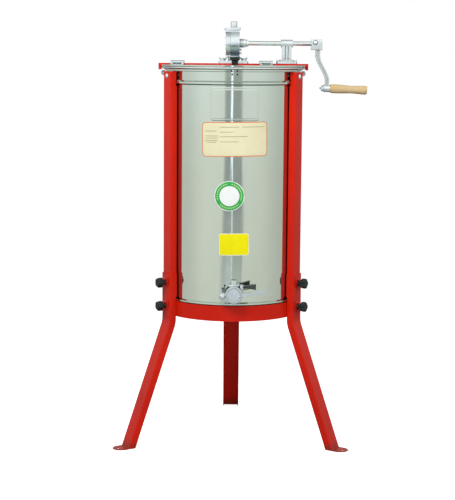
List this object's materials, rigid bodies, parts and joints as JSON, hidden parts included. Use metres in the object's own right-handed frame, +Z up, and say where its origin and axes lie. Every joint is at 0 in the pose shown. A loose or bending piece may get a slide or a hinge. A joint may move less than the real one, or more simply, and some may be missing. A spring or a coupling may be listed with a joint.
{
  "type": "honey extractor",
  "caption": "hand-cranked tangential honey extractor: steel drum on three red legs, hinged half lids, bevel gearbox with a wooden crank grip and a honey gate",
  "frame": {"origin": "the middle of the ground that the whole object covers, at floor level", "axes": "+Z is up and is the longest extent. The crank points along +X and the honey gate faces -Y."},
  "size_m": [0.7489, 0.6443, 1.2563],
  "materials": {
    "red_paint": "red powder coat, half gloss",
    "stainless_steel": "rolled stainless sheet, softly reflective",
    "polished_metal": "polished metal",
    "cast_metal": "cast and lightly polished",
    "zinc_plate": "zinc plated",
    "dark_metal": "dull dark grey metal",
    "black_plastic": "moulded, black",
    "pale_wood": "turned pale wood, lightly oiled"
  },
  "bodies": {
    "stand": {"upright_left": "red_paint", "upright_bolt_left": "zinc_plate", "upright_right": "red_paint", "upright_bolt_right": "zinc_plate", "upright_rear": "red_paint", "upright_bolt_rear": "zinc_plate", "hoop": "red_paint", "drum": "stainless_steel", "drum_floor": "stainless_steel", "gate_body": "polished_metal", "gate_pivot_bolt": "zinc_plate", "crossbar": "red_paint", "gearbox_foot": "cast_metal", "gearbox_housing": "polished_metal", "gearbox_cover": "polished_metal", "gearbox_cap": "cast_metal", "crank_bracket": "cast_metal", "top_bush": "cast_metal", "bottom_bearing": "cast_metal", "bracket_bolt_left": "zinc_plate", "bracket_bolt_right": "zinc_plate", "leg_left": "red_paint", "leg_right": "red_paint", "leg_rear": "red_paint", "hinge_plate_left": "polished_metal", "hinge_plate_right": "polished_metal"},
    "knob_left_upper": {"leg_knob_left_upper": "black_plastic"},
    "knob_left_lower": {"leg_knob_left_lower": "black_plastic"},
    "knob_right_upper": {"leg_knob_right_upper": "black_plastic"},
    "knob_right_lower": {"leg_knob_right_lower": "black_plastic"},
    "knob_rear_upper": {"leg_knob_rear_upper": "black_plastic"},
    "knob_rear_lower": {"leg_knob_rear_lower": "black_plastic"},
    "wing_left": {"wing_bolt_left": "zinc_plate"},
    "wing_right": {"wing_bolt_right": "zinc_plate"},
    "flap": {"gate_flap": "polished_metal"},
    "gate_wing": {"gate_wing_screw": "dark_metal"},
    "lid_front": {"lid_front": "stainless_steel", "hinge_leaf_front_left": "polished_metal", "hinge_leaf_front_right": "polished_metal", "lid_knob_front": "black_plastic"},
    "lid_rear": {"lid_rear": "stainless_steel", "hinge_leaf_rear_left": "polished_metal", "hinge_leaf_rear_right": "polished_metal", "lid_knob_rear": "black_plastic"},
    "cage": {"cage_shaft": "stainless_steel", "cage_top": "stainless_steel", "cage_bottom": "stainless_steel", "bevel_pinion": "cast_metal", "basket_screen_1": "stainless_steel", "basket_screen_2": "stainless_steel", "basket_screen_3": "stainless_steel", "basket_guard_1": "stainless_steel", "basket_guard_2": "stainless_steel", "basket_guard_3": "stainless_steel"},
    "crank": {"crank_shaft": "stainless_steel", "bevel_gear": "cast_metal", "shaft_collar": "zinc_plate", "crank_arm": "cast_metal", "grip_spindle": "zinc_plate"},
    "grip": {"grip": "pale_wood"}
  },
  "joints": [
    {"name": "cage_spin", "type": "hinge", "parent": "stand", "child": "cage", "pos_m": [-0.0254, -0.0767, 0.7], "axis": [0, 0, 1], "continuous": true},
    {"name": "crank_spin", "type": "hinge", "parent": "stand", "child": "crank", "pos_m": [-0.0254, -0.0767, 1.192], "axis": [1, 0, 0], "continuous": true},
    {"name": "grip_spin", "type": "hinge", "parent": "crank", "child": "grip", "pos_m": [0.25335, -0.0767, 1.0602], "axis": [0.9992, 0, -0.0401], "continuous": true},
    {"name": "lid_front_open", "type": "hinge", "parent": "stand", "child": "lid_front", "pos_m": [-0.0254, -0.1042, 1.136], "axis": [-1, 0, 0], "range_deg": [0, 68]},
    {"name": "lid_rear_open", "type": "hinge", "parent": "stand", "child": "lid_rear", "pos_m": [-0.0254, -0.0492, 1.136], "axis": [1, 0, 0], "range_deg": [0, 68]},
    {"name": "gate_swing", "type": "hinge", "parent": "stand", "child": "flap", "pos_m": [-0.0519, -0.316, 0.4691], "axis": [0, -1, 0], "range_deg": [0, 75]},
    {"name": "gate_wing_turn", "type": "hinge", "parent": "stand", "child": "gate_wing", "pos_m": [0.0071, -0.3007, 0.4935], "axis": [1, 0, 0], "continuous": true},
    {"name": "knob_left_upper_turn", "type": "hinge", "parent": "stand", "child": "knob_left_upper", "pos_m": [-0.22095, -0.1896, 0.488], "axis": [-0.866, -0.5, 0], "continuous": true},
    {"name": "knob_left_lower_turn", "type": "hinge", "parent": "stand", "child": "knob_left_lower", "pos_m": [-0.22095, -0.1896, 0.418], "axis": [-0.866, -0.5, 0], "continuous": true},
    {"name": "knob_right_upper_turn", "type": "hinge", "parent": "stand", "child": "knob_right_upper", "pos_m": [0.17014, -0.1896, 0.488], "axis": [0.866, -0.5, 0], "continuous": true},
    {"name": "knob_right_lower_turn", "type": "hinge", "parent": "stand", "child": "knob_right_lower", "pos_m": [0.17014, -0.1896, 0.418], "axis": [0.866, -0.5, 0], "continuous": true},
    {"name": "knob_rear_upper_turn", "type": "hinge", "parent": "stand", "child": "knob_rear_upper", "pos_m": [-0.0254, 0.1491, 0.488], "axis": [0, 1, 0], "continuous": true},
    {"name": "knob_rear_lower_turn", "type": "hinge", "parent": "stand", "child": "knob_rear_lower", "pos_m": [-0.0254, 0.1491, 0.418], "axis": [0, 1, 0], "continuous": true},
    {"name": "wing_left_turn", "type": "hinge", "parent": "stand", "child": "wing_left", "pos_m": [-0.0564, -0.0767, 1.142], "axis": [0, 0, 1], "continuous": true},
    {"name": "wing_right_turn", "type": "hinge", "parent": "stand", "child": "wing_right", "pos_m": [0.0056, -0.0767, 1.142], "axis": [0, 0, 1], "continuous": true}
  ],
  "couplings": [
    {"joint": "crank_spin", "follows": "cage_spin", "ratio": -0.33333}
  ]
}
